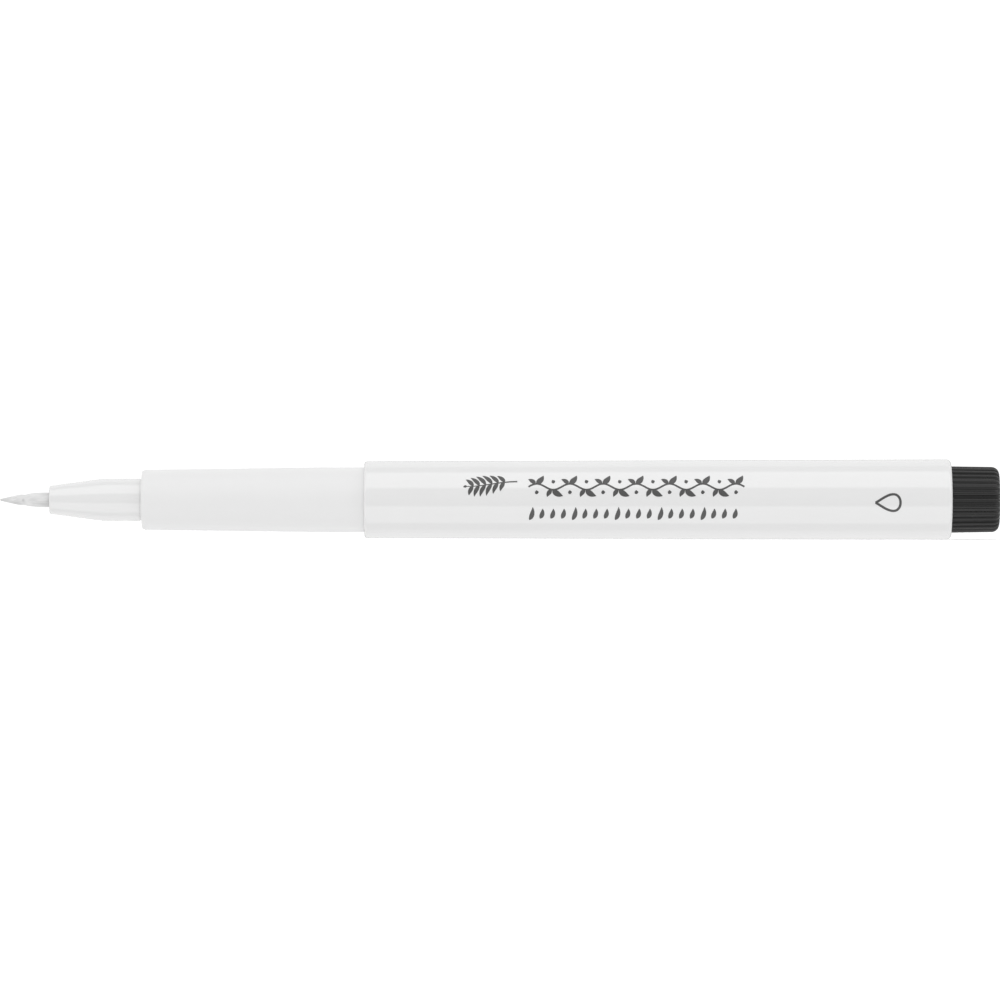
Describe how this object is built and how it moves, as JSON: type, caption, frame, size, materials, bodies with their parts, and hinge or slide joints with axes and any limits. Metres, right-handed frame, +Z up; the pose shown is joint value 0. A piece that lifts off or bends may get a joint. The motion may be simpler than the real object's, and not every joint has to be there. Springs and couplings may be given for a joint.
{
  "type": "brush pen",
  "caption": "Uncapped brush pen: a pointed fibre brush nib in a conical holder, a satin grip, a glossy round barrel with an ink reservoir inside, and a ribbed plug in its rear end.",
  "frame": {"origin": "middle of the pen's length, on its axis", "axes": "+X along the pen's axis from the brush's point to the end plug, +Z up, with the printed side of the barrel facing -Y"},
  "size_m": [0.1338, 0.0108, 0.0108],
  "materials": {
    "white_gloss": "gloss",
    "white_satin": "satin",
    "brush_fibre": "matte",
    "core_fibre": "matte",
    "clear_film": "gloss",
    "black_plastic": "satin"
  },
  "bodies": {
    "pen_body": {"barrel": "white_gloss", "grip_section": "white_satin", "nib_holder": "white_gloss", "ink_reservoir": "core_fibre", "reservoir_film": "clear_film"},
    "nib": {"nib_shank": "brush_fibre"},
    "heel": {"brush_heel": "brush_fibre"},
    "belly": {"brush_belly": "brush_fibre"},
    "point": {"brush_point": "brush_fibre"},
    "plug": {"end_plug": "black_plastic"}
  },
  "joints": [
    {"name": "nib_pull", "type": "slide", "parent": "pen_body", "child": "nib", "axis": [-1, 0, 0], "range_m": [0, 0.028]},
    {"name": "brush_bend", "type": "hinge", "parent": "nib", "child": "heel", "pos_m": [-0.06121, 0, 0], "axis": [0, 1, 0], "range_deg": [-20, 20], "stiffness_Nm_per_rad": 0.004},
    {"name": "brush_sway", "type": "hinge", "parent": "heel", "child": "belly", "pos_m": [-0.06284, 0, 0], "axis": [0, 0, 1], "range_deg": [-25, 25], "stiffness_Nm_per_rad": 0.003},
    {"name": "point_bend", "type": "hinge", "parent": "belly", "child": "point", "pos_m": [-0.06446, 0, 0], "axis": [0, 1, 0], "range_deg": [-30, 30], "stiffness_Nm_per_rad": 0.001},
    {"name": "end_plug_pull", "type": "slide", "parent": "pen_body", "child": "plug", "axis": [1, 0, 0], "range_m": [0, 0.0085]}
  ]
}
